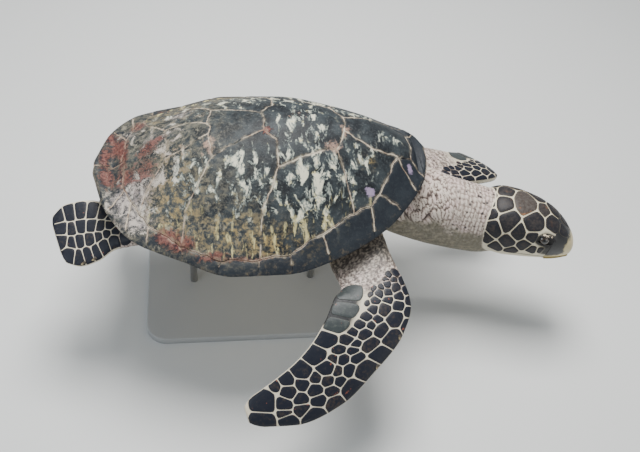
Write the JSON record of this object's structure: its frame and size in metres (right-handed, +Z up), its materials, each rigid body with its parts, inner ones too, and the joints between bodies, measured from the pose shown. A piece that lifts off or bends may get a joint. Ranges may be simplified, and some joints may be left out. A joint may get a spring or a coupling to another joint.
{
  "type": "hawksbill sea turtle model",
  "caption": "Life-size still hawksbill sea turtle in a swimming pose, head turned to its right, with plated carapace and flippers, held over a plain display stand.",
  "frame": {"origin": "middle of the underside of the stand's base, on the floor", "axes": "+Z up, +X towards the turtle's head along the carapace, +Y to the turtle's left"},
  "size_m": [1.071, 0.7191, 0.5146],
  "materials": {
    "carapace_horn": "worn horn plates, blue-black mottled with cream and ochre, algae towards the tail",
    "marginal_horn": "near-black slate horn, worn satin",
    "plastron_horn": "pale yellow horn, satin",
    "skin": "pale pinkish-cream wrinkled skin with fine dark specks",
    "plated_skin": "near-black horny scales parted by thin cream skin",
    "beak_horn": "smooth yellowish horn with dark streaks",
    "eye": "wet, near-black, glossy",
    "stand_paint": "satin grey paint",
    "stand_steel": "brushed"
  },
  "bodies": {
    "root": {"vertebral_1": "carapace_horn", "vertebral_2": "carapace_horn", "vertebral_3": "carapace_horn", "vertebral_4": "carapace_horn", "vertebral_5": "carapace_horn", "costal_left_1": "carapace_horn", "costal_left_2": "carapace_horn", "costal_left_3": "carapace_horn", "costal_left_4": "carapace_horn", "costal_right_1": "carapace_horn", "costal_right_2": "carapace_horn", "costal_right_3": "carapace_horn", "costal_right_4": "carapace_horn", "nuchal": "marginal_horn", "marginal_left_1": "marginal_horn", "marginal_left_2": "marginal_horn", "marginal_left_3": "marginal_horn", "marginal_left_4": "marginal_horn", "marginal_left_5": "marginal_horn", "marginal_left_6": "marginal_horn", "marginal_left_7": "marginal_horn", "marginal_left_8": "marginal_horn", "marginal_left_9": "marginal_horn", "marginal_left_10": "marginal_horn", "marginal_left_11": "marginal_horn", "marginal_right_1": "marginal_horn", "marginal_right_2": "marginal_horn", "marginal_right_3": "marginal_horn", "marginal_right_4": "marginal_horn", "marginal_right_5": "marginal_horn", "marginal_right_6": "marginal_horn", "marginal_right_7": "marginal_horn", "marginal_right_8": "marginal_horn", "marginal_right_9": "marginal_horn", "marginal_right_10": "marginal_horn", "marginal_right_11": "marginal_horn", "supracaudal_left": "marginal_horn", "supracaudal_right": "marginal_horn", "plastron": "plastron_horn", "trunk": "skin", "neck": "skin", "arm_left": "skin", "arm_right": "skin", "thigh_left": "skin", "thigh_right": "skin", "tail": "skin", "head": "plated_skin", "flipper_left": "plated_skin", "flipper_right": "plated_skin", "hind_flipper_left": "plated_skin", "hind_flipper_right": "plated_skin", "beak_upper": "beak_horn", "beak_lower": "beak_horn", "eye_left": "eye", "eye_right": "eye", "stand_base": "stand_paint", "stand_rod_front": "stand_steel", "stand_rod_rear": "stand_steel"}
  },
  "joints": []
}
